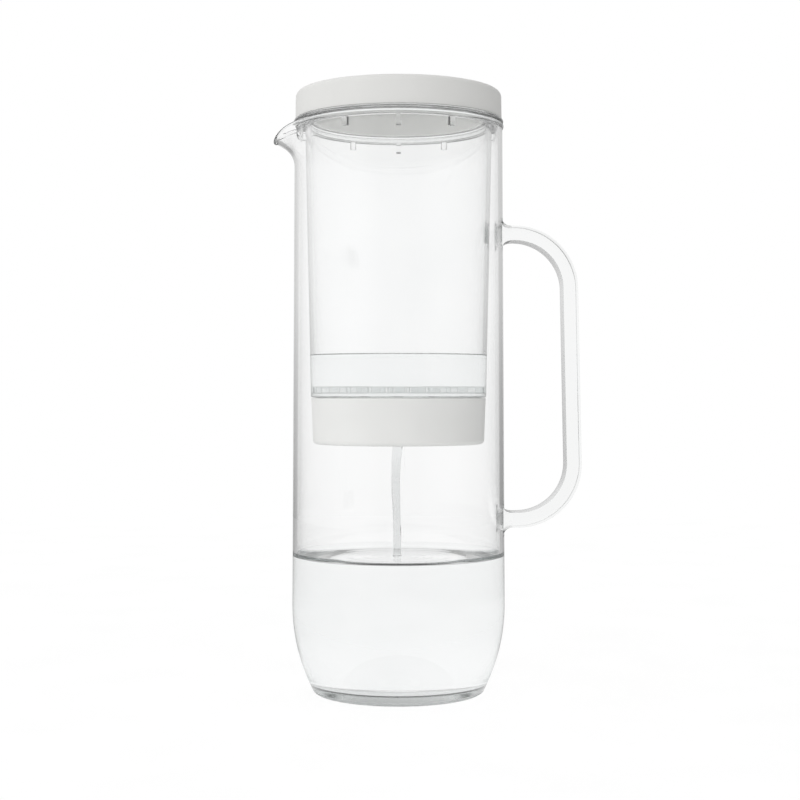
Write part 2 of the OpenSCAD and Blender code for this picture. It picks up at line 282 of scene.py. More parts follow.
def arc(centre, radius, start, end, steps=8):
    """Points of an arc in the (r, z) plane, from one angle to another, in degrees."""
    turns = [math.radians(start + (end - start) * k / steps) for k in range(steps + 1)]
    return [(centre[0] + radius * math.cos(a), centre[1] + radius * math.sin(a)) for a in turns]


def rounded(corners, steps=5):
    """Closed outline through (r, z, radius) corners, counter-clockwise, with an arc at each corner."""
    outline = []
    for k, (r, z, radius) in enumerate(corners):
        here = Vector((r, z))
        if radius == 0:
            outline.append((r, z))
            continue
        back = Vector(corners[k - 1][:2]) - here
        ahead = Vector(corners[(k + 1) % len(corners)][:2]) - here
        room = min(back.length, ahead.length)
        back.normalize()
        ahead.normalize()
        half = back.angle(ahead) / 2
        radius = min(radius, LARGEST_SHARE * room * math.tan(half))
        run = radius / math.tan(half)
        middle = (back + ahead).normalized()
        centre = here + middle * (radius / math.sin(half))
        first = here + back * run - centre
        turn = math.pi - 2 * half
        side = 1 if back.x * ahead.y - back.y * ahead.x < 0 else -1
        beside = run + min(SUPPORT, SUPPORT_SHARE * room)
        outline.append(tuple(here + back * beside))
        for j in range(steps + 1):
            spin = Matrix.Rotation(side * turn * j / steps, 2)
            outline.append(tuple(centre + spin @ first))
        outline.append(tuple(here + ahead * beside))
    return outline


def new_object(name, vertices, faces):
    mesh = bpy.data.meshes.new(name)
    mesh.from_pydata(vertices, [], faces)
    mesh.update()
    piece = bpy.data.objects.new(name, mesh)
    bpy.context.scene.collection.objects.link(piece)
    return piece


def link_bmesh(name, bm):
    """A bmesh as an object of the scene. The bmesh is freed."""
    mesh = bpy.data.meshes.new(name)
    bm.to_mesh(mesh)
    bm.free()
    piece = bpy.data.objects.new(name, mesh)
    bpy.context.scene.collection.objects.link(piece)
    return piece


def lathe(name, outline, segments=SEGMENTS):
    """Solid of revolution about Z of a closed (r, z) outline. Points on the axis become single vertices."""
    vertices = []
    rings = []
    for r, z in outline:
        if r < 1e-9:
            rings.append([len(vertices)] * segments)
            vertices.append((0, 0, z))
            continue
        rings.append(range(len(vertices), len(vertices) + segments))
        for k in range(segments):
            a = 2 * math.pi * k / segments
            vertices.append((r * math.cos(a), r * math.sin(a), z))
    faces = []
    for here, above in zip(rings, rings[1:] + rings[:1]):
        for k in range(segments):
            after = (k + 1) % segments
            face = [here[k], here[after], above[after], above[k]]
            face = [v for j, v in enumerate(face) if v != face[j - 1]]
            if len(face) > 2:
                faces.append(face)
    return new_object(name, vertices, faces)


def prism(outline, thickness, angle, bevel):
    """An (r, z) outline with a thickness across the radius, turned about Z."""
    bm = bmesh.new()
    flat = [bm.verts.new((r, -thickness / 2, z)) for r, z in outline]
    face = bm.faces.new(flat)
    grown = bmesh.ops.extrude_face_region(bm, geom=[face])["geom"]
    far = [v for v in grown if isinstance(v, bmesh.types.BMVert)]
    bmesh.ops.translate(bm, vec=(0, thickness, 0), verts=far)
    bmesh.ops.recalc_face_normals(bm, faces=bm.faces)
    bmesh.ops.bevel(bm, geom=bm.edges, offset=bevel, segments=2, profile=0.5, affect="EDGES")
    bmesh.ops.rotate(bm, verts=bm.verts, matrix=Matrix.Rotation(angle, 3, "Z"))
    return link_bmesh("prism", bm)


def combine(piece, tools, operation):
    """Joins the tools to a piece, or cuts them out of it, as one closed mesh."""
    for tool in tools:
        step = piece.modifiers.new("combine", "BOOLEAN")
        step.operation = operation
        step.solver = "EXACT"
        step.object = tool
    shown = piece.evaluated_get(bpy.context.evaluated_depsgraph_get())
    mesh = bpy.data.meshes.new_from_object(shown)
    piece.modifiers.clear()
    piece.data = mesh
    for tool in tools:
        bpy.data.objects.remove(tool)


def mark(piece, name, share):
    """Marks faces for the clear materials: wet ones, which water touches, and hazy ones."""
    marks = piece.data.attributes.new(name, "FLOAT", "FACE")
    for face in piece.data.polygons:
        marks.data[face.index].value = float(share(face.center, face.normal))


def finish_piece(piece, material, body, slot, *stands_for):
    """Smooth shading, material, body and the solids that the piece stands for."""
    piece.data.shade_smooth()
    piece.data.set_sharp_from_angle(angle=SHARP)
    piece.data.materials.clear()
    piece.data.materials.append(material)
    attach(piece, body)
    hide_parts(*stands_for)


# Material helpers

def add(tree, kind, inputs=None, **settings):
    """A shader node with its settings and its inputs, which are values or other nodes' outputs."""
    made = tree.nodes.new(kind)
    for name, value in settings.items():
        setattr(made, name, value)
    for name, value in (inputs or {}).items():
        if isinstance(value, bpy.types.NodeSocket):
            tree.links.new(value, made.inputs[name])
        else:
            made.inputs[name].default_value = value
    return made


def calc(tree, operation, *values):
    """A math node on values or other nodes' outputs."""
    return add(tree, "ShaderNodeMath", dict(enumerate(values)), operation=operation).outputs["Value"]


def new_material(name):
    material = bpy.data.materials.new(name)
    material.use_nodes = True
    tree = material.node_tree
    tree.nodes.clear()
    place = add(tree, "ShaderNodeTexCoord").outputs["Object"]
    return material, tree, place


# Noise values mostly lie between these two
NOISE_LOW = 0.3
NOISE_HIGH = 0.7


def noise(tree, place, scale, detail=3.0):
    pattern = {"Vector": place, "Scale": scale, "Detail": detail}
    return add(tree, "ShaderNodeTexNoise", pattern).outputs["Fac"]


def between(tree, value, low, high):
    """A noise value spread over a range."""
    spread = {"Value": value, "From Min": NOISE_LOW, "From Max": NOISE_HIGH, "To Min": low, "To Max": high}
    return add(tree, "ShaderNodeMapRange", spread).outputs["Result"]


def by_mark(tree, mark_name, plain, marked):
    """A value that goes from plain to marked as the faces' mark goes from 0 to 1, and on beyond."""
    share = add(tree, "ShaderNodeAttribute", attribute_name=mark_name).outputs["Fac"]
    spread = {"Value": share, "To Min": plain, "To Max": marked}
    return add(tree, "ShaderNodeMapRange", spread, clamp=False).outputs["Result"]


def tint(tree, value, dark, pale):
    """A noise value as a colour between two."""
    ramp = add(tree, "ShaderNodeValToRGB", {"Fac": value})
    ramp.color_ramp.elements[0].position = NOISE_LOW
    ramp.color_ramp.elements[0].color = (*dark, 1)
    ramp.color_ramp.elements[1].position = NOISE_HIGH
    ramp.color_ramp.elements[1].color = (*pale, 1)
    return ramp.outputs["Color"]


def bump(tree, height, strength, distance):
    relief = {"Height": height, "Strength": strength, "Distance": distance}
    return add(tree, "ShaderNodeBump", relief).outputs["Normal"]


def surface(tree, **inputs):
    """The material's one surface shader, with sockets given by name. Returns the output node."""
    named = {name.replace("_", " "): value for name, value in inputs.items()}
    shader = add(tree, "ShaderNodeBsdfPrincipled", named)
    return add(tree, "ShaderNodeOutputMaterial", {"Surface": shader.outputs["BSDF"]})


def clear_material(name, ior, dark, pale, wave_scale, wave_depth, depth_tint=None):
    """Clear solid with a faint drift of tint and a faint wave in its surface.

    With a depth tint, long ways through it are darker. Faces marked as wet bend light as a border
    with water does. Faces marked as hazy scatter it.
    """
    material, tree, place = new_material(name)
    output = surface(
        tree,
        Base_Color=tint(tree, noise(tree, place, 30.0), dark, pale),
        Roughness=by_mark(tree, "hazy", 0.0, HAZE_ROUGHNESS),
        IOR=by_mark(tree, "wet", ior, ior / WATER_IOR),
        Transmission_Weight=1.0,
        Normal=bump(tree, noise(tree, place, wave_scale, 1.0), 0.3, wave_depth),
    )
    if depth_tint:
        loss = {"Color": (*depth_tint, 1), "Density": DEPTH_DENSITY}
        inside = add(tree, "ShaderNodeVolumeAbsorption", loss)
        tree.links.new(inside.outputs["Volume"], output.inputs["Volume"])
    return material


def water_side_material():
    """Sides of the water, which touch wet faces and bend no light themselves."""
    material, tree, place = new_material("water_side")
    colour = tint(tree, noise(tree, place, 30.0), (0.968, 0.973, 0.973), (0.983, 0.986, 0.986))
    side = add(tree, "ShaderNodeBsdfTransparent", {"Color": colour})
    add(tree, "ShaderNodeOutputMaterial", {"Surface": side.outputs["BSDF"]})
    return material


def satin_material(name, dark, pale, roughness, grain_scale, grain_depth):
    """Moulded plastic with a fine spark-eroded grain."""
    material, tree, place = new_material(name)
    grain = noise(tree, place, grain_scale, 2.0)
    surface(
        tree,
        Base_Color=tint(tree, noise(tree, place, 60.0, 5.0), dark, pale),
        Roughness=between(tree, noise(tree, place, 140.0), roughness - 0.04, roughness + 0.04),
        IOR=1.46,
        Normal=bump(tree, grain, 0.25, grain_depth),
    )
    return material


def silicone_material():
    material, tree, place = new_material("silicone")
    surface(
        tree,
        Base_Color=tint(tree, noise(tree, place, 80.0), (0.975, 0.98, 0.98), (0.99, 0.99, 0.99)),
        Roughness=between(tree, noise(tree, place, 300.0), 0.02, 0.08),
        IOR=1.41,
        Transmission_Weight=1.0,
        Normal=bump(tree, noise(tree, place, 900.0), 0.1, 0.00005),
    )
    return material


def felt_material():
    material, tree, place = new_material("felt")
    weave = {"Vector": place, "Scale": 1500.0, "Detail": 6.0, "Distortion": 2.0}
    fibre = add(tree, "ShaderNodeTexNoise", weave).outputs["Fac"]
    surface(
        tree,
        Base_Color=tint(tree, fibre, (0.68, 0.67, 0.62), (0.86, 0.85, 0.81)),
        Roughness=0.95,
        Sheen_Weight=0.3,
        Normal=bump(tree, fibre, 0.8, 0.0003),
    )
    return material


def grain_material(name, dark, pale, grain_scale, roughness):
    """A bed of grains or beads: cells with their own tone and rounded tops."""
    material, tree, place = new_material(name)
    cells = add(tree, "ShaderNodeTexVoronoi", {"Vector": place, "Scale": grain_scale})
    height = calc(tree, "SUBTRACT", 1.0, cells.outputs["Distance"])
    tone = add(tree, "ShaderNodeSeparateColor", {"Color": cells.outputs["Color"]}).outputs["Red"]
    surface(
        tree,
        Base_Color=tint(tree, tone, dark, pale),
        Roughness=roughness,
        Normal=bump(tree, height, 1.0, 0.0004),
    )
    return material


GLASS_IOR = 1.5
WATER_IOR = 1.333
HAZE_ROUGHNESS = 0.35

# Loss of light per metre inside clear solids, before their tint
DEPTH_DENSITY = 6.9
CLEAR_DARK = (0.988, 0.99, 0.99)
CLEAR_PALE = (0.997, 0.998, 0.998)
CLEAR_DEPTH = (0.49, 0.52, 0.51)

# Grain of the moulded plastics
GRAIN_SCALE = 2600.0
GRAIN_DEPTH = 0.00003

GLASS = clear_material(
    "glass", GLASS_IOR, CLEAR_DARK, CLEAR_PALE,
    wave_scale=45.0, wave_depth=0.00002, depth_tint=CLEAR_DEPTH,
)
CLEAR_PLASTIC = clear_material(
    "clear_plastic", GLASS_IOR, CLEAR_DARK, CLEAR_PALE,
    wave_scale=70.0, wave_depth=0.00001, depth_tint=CLEAR_DEPTH,
)
WATER = clear_material(
    "water", WATER_IOR, CLEAR_DARK, CLEAR_PALE,
    wave_scale=60.0, wave_depth=0.00001,
)
WATER_SIDE = water_side_material()
# The stream's grey tint is painted shade: it darkens the clear water throughout.
STREAM = clear_material(
    "stream", WATER_IOR, (0.7, 0.71, 0.71), (0.88, 0.89, 0.89),
    wave_scale=160.0, wave_depth=0.0015,
)
GREY_PLASTIC = satin_material(
    "grey_plastic", (0.68, 0.68, 0.665), (0.695, 0.695, 0.68),
    roughness=0.46, grain_scale=GRAIN_SCALE, grain_depth=GRAIN_DEPTH,
)
# A lighter copy of the grey plastic, for the lid's liner and the filter cup: painted light, standing in for
# the light they lose in the shade behind the clear pieces.
GREY_PLASTIC_PAINTED_LIGHT = satin_material(
    "grey_plastic_painted_light", (0.775, 0.775, 0.76), (0.805, 0.805, 0.79),
    roughness=0.46, grain_scale=GRAIN_SCALE, grain_depth=GRAIN_DEPTH,
)
WHITE_PLASTIC = satin_material(
    "white_plastic", (0.84, 0.84, 0.82), (0.88, 0.88, 0.86),
    roughness=0.42, grain_scale=2200.0, grain_depth=GRAIN_DEPTH,
)
SILICONE = silicone_material()
FELT = felt_material()
CARBON = grain_material(
    "carbon", (0.012, 0.012, 0.012), (0.06, 0.06, 0.06),
    grain_scale=900.0, roughness=0.6,
)
RESIN = grain_material(
    "resin", (0.42, 0.24, 0.07), (0.74, 0.52, 0.22),
    grain_scale=1300.0, roughness=0.3,
)


# Glass jug

def wall_top():
    """Height at which the outer wall runs into the rim's bead, and the bead's angle there in degrees."""
    lean = math.acos((GLASS_WALL - BEAD_R) / BEAD_R)
    return RIM_Z - BEAD_R - BEAD_R * math.sin(lean), math.degrees(lean)


def wall_r(z):
    """Outer radius of the glass wall at a height."""
    return FOOT_R + (RIM_R - FOOT_R) * (z - FOOT_H) / (wall_top()[0] - FOOT_H)


def wall_heights():
    """Rows of the wall: wide ones, then narrow ones where the spout leaves it."""
    top = wall_top()[0]
    wet_top = JUG_LEVEL + JUG_MENISCUS
    rows = [FOOT_H + (wet_top - FOOT_H) * k / WET_ROWS for k in range(1, WET_ROWS + 1)]
    rows += [wet_top + (SPOUT_Z - wet_top) * k / WALL_ROWS for k in range(1, WALL_ROWS + 1)]
    return rows + [SPOUT_Z + (top - SPOUT_Z) * k / SPOUT_ROWS for k in range(1, SPOUT_ROWS)]


def meeting(curve_c, curve_r, z, r):
    """Centre and angle of a small arc of radius r that runs from a flat at height z into a large arc."""
    rise = curve_c[1] - z - r
    run = math.sqrt((curve_r - r) ** 2 - rise ** 2)
    return (curve_c[0] + run, z + r), -math.degrees(math.asin(rise / (curve_r - r)))


def jug_outline():
    foot_c = (FOOT_R - FOOT_CURVE_R, FOOT_H)
    edge_c, edge_a = meeting(foot_c, FOOT_CURVE_R, 0, FOOT_EDGE_R)
    inner_r = FOOT_CURVE_R - GLASS_WALL
    corner_c, corner_a = meeting(foot_c, inner_r, GLASS_BASE, FLOOR_CORNER_R)
    bead_c = (MOUTH_R + BEAD_R, RIM_Z - BEAD_R)
    bead_a = wall_top()[1]
    ring_r = edge_c[0] - BASE_RING_W
    shares = [k / HOLLOW_ROWS for k in range(HOLLOW_ROWS + 1)]
    hollow = [(ring_r * s, BASE_HOLLOW * math.cos(math.pi / 2 * s) ** 2) for s in shares]
    outer = [(wall_r(z), z) for z in wall_heights()]
    inner = [(r - GLASS_WALL, z) for r, z in reversed(outer)]
    base_top = [(corner_c[0] * k / BASE_ROWS, GLASS_BASE) for k in reversed(range(BASE_ROWS))]
    return (
        hollow
        + arc(edge_c, FOOT_EDGE_R, -90, edge_a)
        + arc(foot_c, FOOT_CURVE_R, edge_a, 0, CURVE_STEPS)[1:]
        + outer
        + arc(bead_c, BEAD_R, -bead_a, 180, BEAD_STEPS)
        + inner
        + arc(foot_c, inner_r, 0, corner_a, CURVE_STEPS)
        + arc(corner_c, FLOOR_CORNER_R, corner_a, -90)[1:]
        + base_top
    )


def roll_spout(piece):
    """Rolls the wall outward over the spout's width, as hot glass is drawn: a bend, then a straight lip."""
    middle_r = RIM_R - GLASS_WALL / 2
    full = RIM_Z - SPOUT_Z
    bent = SPOUT_BEND_R * SPOUT_TURN
    drawn = bent + SPOUT_LIP
    for vertex in piece.data.vertices:
        x, y, z = vertex.co
        off = abs(math.atan2(y, -x)) / SPOUT_SPREAD
        if z <= SPOUT_Z or off >= 1:
            continue
        weight = math.cos(off * math.pi / 2) ** 2
        length = full + (drawn - full) * weight
        along = (z - SPOUT_Z) / full * length
        bend_length = bent / drawn * length
        turn = weight * SPOUT_TURN * min(1, along / bend_length)
        if turn < 1e-6:
            continue
        bend_r = bend_length / (weight * SPOUT_TURN)
        lip = max(0, along - bend_length)
        out = bend_r * (1 - math.cos(turn)) + lip * math.sin(turn)
        up = bend_r * math.sin(turn) + lip * math.cos(turn)
        r = math.hypot(x, y)
        depth = r - middle_r
        rolled = middle_r + out + depth * math.cos(turn)
        height = SPOUT_Z + up - depth * math.sin(turn)
        vertex.co = (x * rolled / r, y * rolled / r, height)


def strap_section(half_t, half_w, corner, steps=6):
    """Rounded rectangle, with extra points that keep the flats flat. Thickness first, then width."""
    points = []
    for quarter in range(4):
        u = Vector((1, 0)) @ Matrix.Rotation(-quarter * math.pi / 2, 2)
        v = Vector((-u.y, u.x))
        flip = (1 if quarter in (0, 3) else -1, 1 if quarter in (0, 1) else -1)
        centre = Vector((flip[0] * (half_t - corner), flip[1] * (half_w - corner)))
        points.append(centre + u * corner - v * SUPPORT)
        for k in range(steps + 1):
            a = math.pi / 2 * k / steps
            points.append(centre + (u * math.cos(a) + v * math.sin(a)) * corner)
        points.append(centre + v * corner - u * SUPPORT)
    return points


def weld_rings(z, side, bend_x):
    """Rings of a welded foot, from inside the wall to the bend. Each follows the wall less than the last."""
    wall = wall_r(z) + math.tan(HANDLE_LEAN) * (z - HANDLE_MID)
    arm = bend_x - wall
    turns = [math.pi / 2 * k / WELD_STEPS for k in range(WELD_STEPS + 1)]
    stations = [(-GLASS_WALL / 2, WELD_R)]
    stations += [(WELD_R * (1 - math.cos(a)) - WELD_EMBED, WELD_R * (1 - math.sin(a))) for a in turns]
    rings = []
    for out, spread in stations:
        hug = 1 - max(0, min(1, out / arm))
        hug = hug * hug * (3 - 2 * hug)
        section = strap_section(HANDLE_T / 2 + spread, HANDLE_W / 2, HANDLE_EDGE)
        ring = []
        for a, b in section:
            curve = math.sqrt(wall * wall - b * b) - wall
            ring.append((wall + out + hug * curve, b, z + side * a))
        rings.append(ring)
    return rings


def handle():
    """The bent strap with its two welded feet, which end inside the wall."""
    upper = HANDLE_TOP - HANDLE_T / 2
    lower = HANDLE_BOTTOM + HANDLE_T / 2
    lean_out = math.tan(HANDLE_LEAN) * (HANDLE_MID - lower - HANDLE_BEND_R)
    strap_x = HANDLE_REACH - HANDLE_T / 2 - lean_out
    bend_x = strap_x - HANDLE_BEND_R
    section = strap_section(HANDLE_T / 2, HANDLE_W / 2, HANDLE_EDGE)
    rings = weld_rings(upper, 1, bend_x)
    for centre_z, start in ((upper - HANDLE_BEND_R, 90), (lower + HANDLE_BEND_R, 0)):
        for k in range(BEND_STEPS + 1):
            a = math.radians(start - 90 * k / BEND_STEPS)
            out = Vector((math.cos(a), 0, math.sin(a)))
            centre = Vector((bend_x, 0, centre_z)) + out * HANDLE_BEND_R
            rings.append([tuple(centre + out * p + Vector((0, q, 0))) for p, q in section])
    rings += list(reversed(weld_rings(lower, -1, bend_x)))
    count = len(section)
    vertices = [v for ring in rings for v in ring]
    faces = [list(range(count))]
    for k in range(len(rings) - 1):
        for j in range(count):
            after = (j + 1) % count
            faces.append([k * count + j, (k + 1) * count + j, (k + 1) * count + after, k * count + after])
    faces.append(list(range((len(rings) - 1) * count, len(rings) * count))[::-1])
    piece = new_object("strap", vertices, faces)
    lean = Matrix.Translation((0, 0, HANDLE_MID)) @ Matrix.Rotation(-HANDLE_LEAN, 4, "Y")
    piece.data.transform(lean @ Matrix.Translation((0, 0, -HANDLE_MID)))
    bm = bmesh.new()
    bm.from_mesh(piece.data)
    bmesh.ops.recalc_face_normals(bm, faces=bm.faces)
    bm.to_mesh(piece.data)
    bm.free()
    return piece


def jug():
    piece = lathe("jug", jug_outline())
    roll_spout(piece)
    combine(piece, [handle()], "UNION")
    finish_piece(piece, GLASS, "jug", "glass", "glass_jug", "glass_handle")

    def under_water(at, facing):
        inward = at.x * facing.x + at.y * facing.y < 0 or facing.z > FLAT
        return inward and at.z < JUG_LEVEL + JUG_MENISCUS

    def base_or_weld(at, facing):
        if facing.z < -FLAT and at.z < FOOT_EDGE_R:
            return 1
        beside = min(abs(at.z - HANDLE_TOP + HANDLE_T / 2), abs(at.z - HANDLE_BOTTOM - HANDLE_T / 2))
        in_weld = -GLASS_WALL < at.x - wall_r(at.z) < WELD_R and beside < HANDLE_T / 2 + WELD_R
        return WELD_HAZE if in_weld and abs(at.y) < HANDLE_W / 2 + SUPPORT else 0

    mark(piece, "wet", under_water)
    mark(piece, "hazy", base_or_weld)


# Tumbler, collar and gasket

def cup_r(z):
    """Outer radius of the tumbler at a height."""
    return SEAT_R + CUP_TAPER * (z - SEAT_Z) / CUP_DEPTH


def tumbler_cup():
    floor_z = FLOOR_TOP - FLOOR_T
    inner = SPIGOT_R - SPIGOT_WALL
    wet_top = CUP_LEVEL + CUP_MENISCUS
    low = SLEEVE_Z - SNUG - LUG_H
    rows = [SEAT_Z + (low - SEAT_Z) * k / CUP_ROWS for k in range(1, CUP_ROWS)]
    rows += [low - LUG_H / 4, SLEEVE_Z]
    piece = lathe("tumbler_cup", rounded([
        (0, floor_z, 0),
        (inner, floor_z, SMALL_EDGE),
        (inner, SPIGOT_Z, SMALL_EDGE),
        (SPIGOT_R, SPIGOT_Z, SMALL_EDGE),
        (SPIGOT_R, SEAT_Z, SMALL_EDGE),
        (SEAT_R, SEAT_Z, SEAT_EDGE_R),
        *[(cup_r(z), z, 0) for z in rows],
        (cup_r(MOUTH_Z - LIP_H), MOUTH_Z - LIP_H, SMALL_EDGE),
        (LIP_R, MOUTH_Z - LIP_H, SMALL_EDGE),
        (LIP_R, MOUTH_Z, SMALL_EDGE),
        (CUP_R - CUP_WALL, MOUTH_Z, SMALL_EDGE),
        (cup_r(wet_top) - CUP_WALL, wet_top, 0),
        (cup_r(FLOOR_TOP) - CUP_WALL, FLOOR_TOP, SMALL_EDGE),
        (0, FLOOR_TOP, 0),
    ]))
    lugs = []
    r_in = cup_r(low) - CUP_WALL / 2
    r_out = r_in + CUP_WALL / 2 + LUG_OUT
    outline = [(r_in, low), (r_out, low), (r_out, low + LUG_H), (r_in, low + LUG_H)]
    for base in (-math.pi / 2, math.pi / 2):
        for side in (-LUG_ANGLE, LUG_ANGLE):
            lugs.append(prism(outline, LUG_W, base + side, SMALL_EDGE))
    combine(piece, lugs, "UNION")
    combine(piece, [floor_pins(inner, FLOOR_HOLE_R, 2 * FLOOR_T)], "DIFFERENCE")
    finish_piece(piece, CLEAR_PLASTIC, "tumbler", "clear_plastic", "reservoir_cup")

    def under_water(at, facing):
        r = math.hypot(at.x, at.y)
        in_cup = r < cup_r(at.z) - INSIDE_SHARE * CUP_WALL and at.z > FLOOR_TOP - SNUG
        if r < inner - SNUG and floor_z < at.z < FLOOR_TOP:
            return HOLE_WET
        return (in_cup or r < inner + SNUG) and at.z < wet_top

    def lug_side(at, facing):
        on_lug = math.hypot(at.x, at.y) > cup_r(at.z) + SMALL_EDGE and at.z < SLEEVE_Z
        return on_lug and abs(facing.z) < FLAT

    mark(piece, "wet", under_water)
    mark(piece, "hazy", lug_side)


def floor_pins(field_r, pin_r, pin_h, rings=2):
    """Pins through the floor: one in the middle, and rings of 6 and 12."""
    pitch = (field_r - 3 * FLOOR_HOLE_R) / rings
    places = [(0, 0)]
    for k in range(1, rings + 1):
        for j in range(6 * k):
            a = math.pi / 3 * j / k
            places.append((k * pitch * math.cos(a), k * pitch * math.sin(a)))
    bm = bmesh.new()
    for x, y in places:
        at = Matrix.Translation((x, y, FLOOR_TOP - FLOOR_T / 2))
        bmesh.ops.create_cone(
            bm, cap_ends=True, segments=PIN_SEGMENTS, radius1=pin_r, radius2=pin_r, depth=pin_h, matrix=at,
        )
    return link_bmesh("pins", bm)


def tumbler_collar():
    inner = cup_r(SLEEVE_Z) + SNUG
    piece = lathe("tumbler_collar", rounded([
        (inner, SLEEVE_Z, TIGHT_EDGE),
        (SLEEVE_R, SLEEVE_Z, SMALL_EDGE),
        (SLEEVE_R, GASKET_Z, GROOVE_EDGE),
        (GASKET_IN_R, GASKET_Z, GROOVE_EDGE),
        (GASKET_IN_R, GASKET_TOP, GROOVE_EDGE),
        (SLEEVE_R, GASKET_TOP, GROOVE_EDGE),
        (SLEEVE_R, FLANGE_Z, SMALL_EDGE),
        (FLANGE_R, FLANGE_Z, FLANGE_EDGE_R),
        (FLANGE_R, MOUTH_Z, FLANGE_EDGE_R),
        (LIP_R + SNUG, MOUTH_Z, TIGHT_EDGE),
        (LIP_R + SNUG, MOUTH_Z - LIP_H, TIGHT_EDGE),
        (cup_r(MOUTH_Z - LIP_H) + SNUG, MOUTH_Z - LIP_H, TIGHT_EDGE),
    ]))
    r_out = SLEEVE_R - SNUG
    turn = r_out - inner - SNUG
    top = (SLEEVE_Z + GASKET_Z) / 2
    foot = arc((r_out - turn, RIB_Z + turn), turn, -90, 0, 10)
    outline = [(inner, top), (inner, RIB_Z)] + foot + [(r_out, top)]
    ribs = [prism(outline, RIB_T, k * math.pi / 2, RIB_EDGE) for k in range(4)]
    combine(piece, ribs, "UNION")
    finish_piece(piece, CLEAR_PLASTIC, "tumbler", "clear_plastic", "collar_ring")

    def rib_end(at, facing):
        return facing.z < -LEANING and at.z < SLEEVE_Z - SMALL_EDGE

    mark(piece, "hazy", rib_end)


def flat_ring(name, r_in, r_out, low, high, edge):
    corners = [(r_in, low), (r_out, low), (r_out, high), (r_in, high)]
    return lathe(name, rounded([(r, z, edge) for r, z in corners]))


def tumbler_gasket():
    piece = flat_ring("tumbler_gasket", GASKET_IN_R + SNUG, GASKET_R, GASKET_Z, GASKET_TOP, GASKET_EDGE)
    finish_piece(piece, SILICONE, "tumbler", "silicone", "mouth_gasket")


# Lid

def lid_top():
    inner = LID_R - LID_WALL
    under = LID_TOP - LID_WALL
    piece = lathe("lid_top", rounded([
        (0, under, 0),
        (inner, under, INNER_CORNER_R),
        (inner, LID_Z, SMALL_EDGE),
        (LID_R, LID_Z, SOFT_EDGE),
        (LID_R - LID_DRAFT, LID_TOP, LID_EDGE_R),
        (0, LID_TOP, 0),
    ], 8))
    finish_piece(piece, GREY_PLASTIC, "lid", "grey_plastic", "lid_cap")


def lid_ring():
    inner = LINER_R - LINER_WALL
    under = LID_TOP - LID_WALL
    piece = lathe("lid_ring", rounded([
        (inner, LINER_Z, LINER_EDGE_R),
        (LINER_R, LINER_Z, LINER_EDGE_R),
        (LINER_R, LID_SEAL_TOP, SMALL_EDGE),
        (LEDGE_R, LID_SEAL_TOP, SMALL_EDGE),
        (LEDGE_R, LID_SEAL_TOP + LEDGE_T, SMALL_EDGE),
        (LINER_R, LID_SEAL_TOP + LEDGE_T, SMALL_EDGE),
        (LINER_R, under - LEDGE_T, SMALL_EDGE),
        (LEDGE_R, under - LEDGE_T, SMALL_EDGE),
        (LEDGE_R, under, SMALL_EDGE),
        (inner, under, SMALL_EDGE),
    ]))
    finish_piece(piece, GREY_PLASTIC_PAINTED_LIGHT, "lid", "grey_plastic", "lid_liner")


def lid_gasket():
    piece = flat_ring("lid_gasket", LINER_R + SNUG, LID_SEAL_R, LID_Z, LID_SEAL_TOP, SOFT_EDGE)
    finish_piece(piece, SILICONE, "lid", "silicone", "lid_seal")


# Filter cup

def filter_shell():
    floor_top = FILTER_Z + FILTER_FLOOR
    piece = lathe("filter_shell", rounded([
        (OUTLET_R, FILTER_Z, SOFT_EDGE),
        (FILTER_R - FILTER_DRAFT, FILTER_Z, FILTER_EDGE_R),
        (FILTER_R, FILTER_TOP, SOFT_EDGE),
        (FILTER_SEAL_R, FILTER_TOP, SMALL_EDGE),
        (FILTER_SEAL_R, FILTER_SEAL_Z, TIGHT_EDGE),
        (FILTER_BORE_R, FILTER_SEAL_Z, SMALL_EDGE),
        (FILTER_BORE_R, floor_top, INNER_CORNER_R),
        (OUTLET_R, floor_top, SOFT_EDGE),
    ], 8))
    r_in = 2 * OUTLET_R
    r_out = FILTER_BORE_R - 2 * OUTLET_R
    low = FILTER_Z + FILTER_FLOOR / 2
    high = floor_top + BED_RIB_H
    outline = [(r_in, low), (r_out, low), (r_out, high), (r_in, high)]
    ribs = [prism(outline, BED_RIB_T, k * math.pi / 3, BED_RIB_EDGE) for k in range(6)]
    combine(piece, ribs, "UNION")
    finish_piece(piece, GREY_PLASTIC_PAINTED_LIGHT, "filter_housing", "grey_plastic", "filter_cup")


def filter_gasket():
    piece = flat_ring(
        "filter_gasket", FILTER_BORE_R, FILTER_SEAL_R, FILTER_SEAL_Z, FILTER_SEAL_TOP, SMALL_EDGE,
    )
    finish_piece(piece, SILICONE, "filter_housing", "silicone", "filter_seal")


# Water

def meniscus(height, gap):
    """Rise of the water beside a wall, at a distance from it."""
    return height * math.exp(-MENISCUS_FALL * gap / height)


def ripple(r):
    """Rings round the place where the stream lands."""
    return RIPPLE_H * math.cos(2 * math.pi * r / RIPPLE_LENGTH) * math.exp(-r / RIPPLE_FADE)


def water_top(r_wall, level, rise, ripples):
    """The surface from the wall to the axis."""
    near = [r_wall - rise * MENISCUS_REACH * (k / MENISCUS_ROWS) ** 2 for k in range(MENISCUS_ROWS + 1)]
    far = [near[-1] * (1 - k / SURFACE_ROWS) for k in range(1, SURFACE_ROWS + 1)]
    return [(r, level + meniscus(rise, r_wall - r) + (ripple(r) if ripples else 0)) for r in near + far]


def finish_water(piece, body, level):
    """The surface bends light. The sides and the bottom leave that to the walls they touch."""
    piece.data.shade_smooth()
    piece.data.materials.append(WATER)
    piece.data.materials.append(WATER_SIDE)
    for face in piece.data.polygons:
        on_top = face.normal.z > LEANING and face.center.z > level - SURFACE_BAND
        face.material_index = 0 if on_top else 1
    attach(piece, body)


